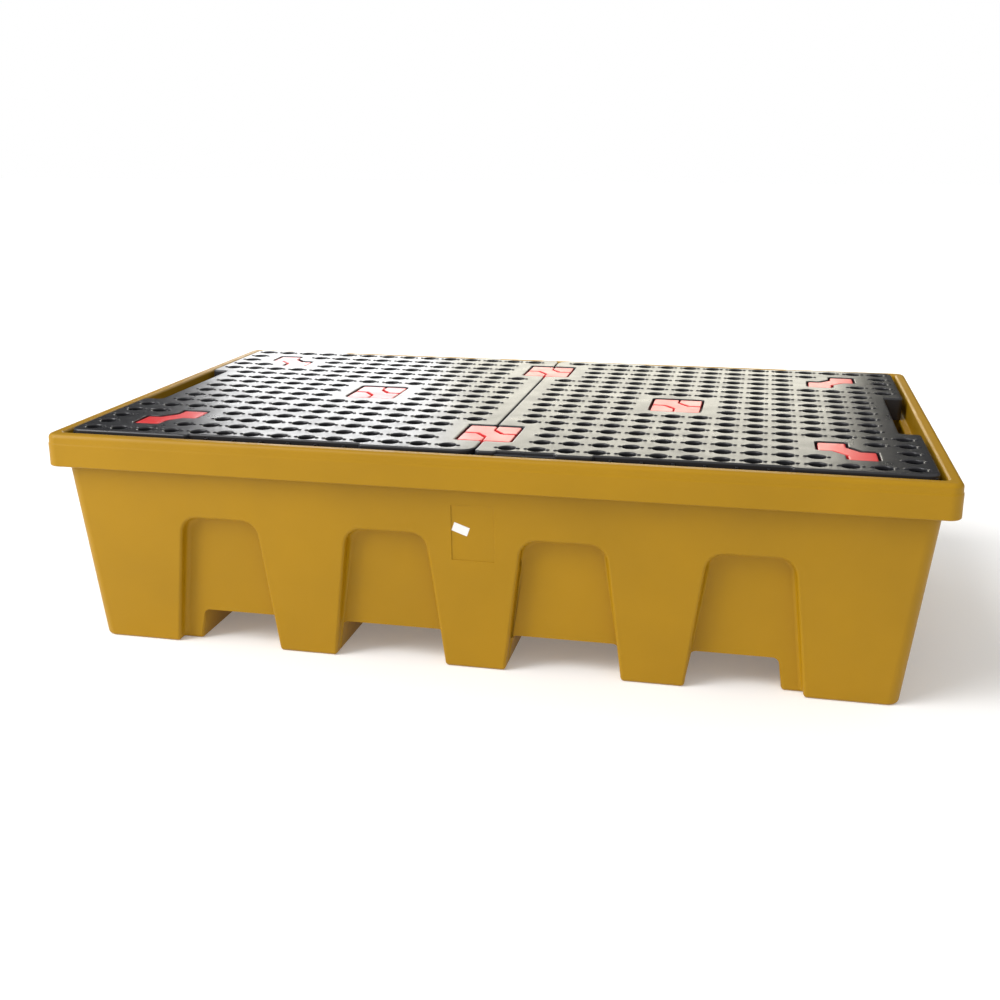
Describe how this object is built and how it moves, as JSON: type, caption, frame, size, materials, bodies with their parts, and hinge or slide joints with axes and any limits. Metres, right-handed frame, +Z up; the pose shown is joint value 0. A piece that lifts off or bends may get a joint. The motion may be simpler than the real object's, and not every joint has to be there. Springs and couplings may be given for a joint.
{
  "type": "spill containment pallet",
  "caption": "Low rectangular sump tub on feet with fork openings, carrying perforated lift-out grid decks held on support pillars by push-in clips.",
  "frame": {"origin": "centre of the tub's footprint, at floor level", "axes": "+X along the length, +Y from front to back, +Z up"},
  "size_m": [2.45, 1.48, 0.627],
  "materials": {
    "tub_yellow": "satin moulded polyethylene",
    "deck_black": "satin moulded polyethylene",
    "clip_red": "semi-gloss injection moulding",
    "pillar_black": "satin tube",
    "sticker_white": "plain coated paper"
  },
  "bodies": {
    "tub_body": {"tub": "tub_yellow", "label_sticker": "sticker_white"},
    "deck_left_body": {"deck_left": "deck_black", "joint_pillar_front": "pillar_black", "joint_pillar_rear": "pillar_black", "centre_pillar_left": "pillar_black", "corner_pillar_front_left": "pillar_black", "corner_pillar_rear_left": "pillar_black"},
    "deck_right_body": {"deck_right": "deck_black", "centre_pillar_right": "pillar_black", "corner_pillar_front_right": "pillar_black", "corner_pillar_rear_right": "pillar_black"},
    "joint_clip_front_body": {"joint_clip_front": "clip_red"},
    "joint_clip_rear_body": {"joint_clip_rear": "clip_red"},
    "centre_clip_left_body": {"centre_clip_left": "clip_red"},
    "centre_clip_right_body": {"centre_clip_right": "clip_red"},
    "corner_clip_front_left_body": {"corner_clip_front_left": "clip_red"},
    "corner_clip_front_right_body": {"corner_clip_front_right": "clip_red"},
    "corner_clip_rear_left_body": {"corner_clip_rear_left": "clip_red"},
    "corner_clip_rear_right_body": {"corner_clip_rear_right": "clip_red"}
  },
  "joints": [
    {"name": "deck_left_lift", "type": "slide", "parent": "tub_body", "child": "deck_left_body", "axis": [0, 0, 1], "range_m": [0, 0.65]},
    {"name": "deck_right_lift", "type": "slide", "parent": "tub_body", "child": "deck_right_body", "axis": [0, 0, 1], "range_m": [0, 0.65]},
    {"name": "joint_clip_front_pull", "type": "slide", "parent": "deck_left_body", "child": "joint_clip_front_body", "axis": [0, 0, 1], "range_m": [0, 0.08]},
    {"name": "joint_clip_rear_pull", "type": "slide", "parent": "deck_left_body", "child": "joint_clip_rear_body", "axis": [0, 0, 1], "range_m": [0, 0.08]},
    {"name": "centre_clip_left_pull", "type": "slide", "parent": "deck_left_body", "child": "centre_clip_left_body", "axis": [0, 0, 1], "range_m": [0, 0.08]},
    {"name": "centre_clip_right_pull", "type": "slide", "parent": "deck_right_body", "child": "centre_clip_right_body", "axis": [0, 0, 1], "range_m": [0, 0.08]},
    {"name": "corner_clip_front_left_pull", "type": "slide", "parent": "deck_left_body", "child": "corner_clip_front_left_body", "axis": [0, 0, 1], "range_m": [0, 0.08]},
    {"name": "corner_clip_front_right_pull", "type": "slide", "parent": "deck_right_body", "child": "corner_clip_front_right_body", "axis": [0, 0, 1], "range_m": [0, 0.08]},
    {"name": "corner_clip_rear_left_pull", "type": "slide", "parent": "deck_left_body", "child": "corner_clip_rear_left_body", "axis": [0, 0, 1], "range_m": [0, 0.08]},
    {"name": "corner_clip_rear_right_pull", "type": "slide", "parent": "deck_right_body", "child": "corner_clip_rear_right_body", "axis": [0, 0, 1], "range_m": [0, 0.08]}
  ],
  "couplings": [
    {"joint": "deck_right_lift", "follows": "deck_left_lift", "ratio": 1}
  ]
}
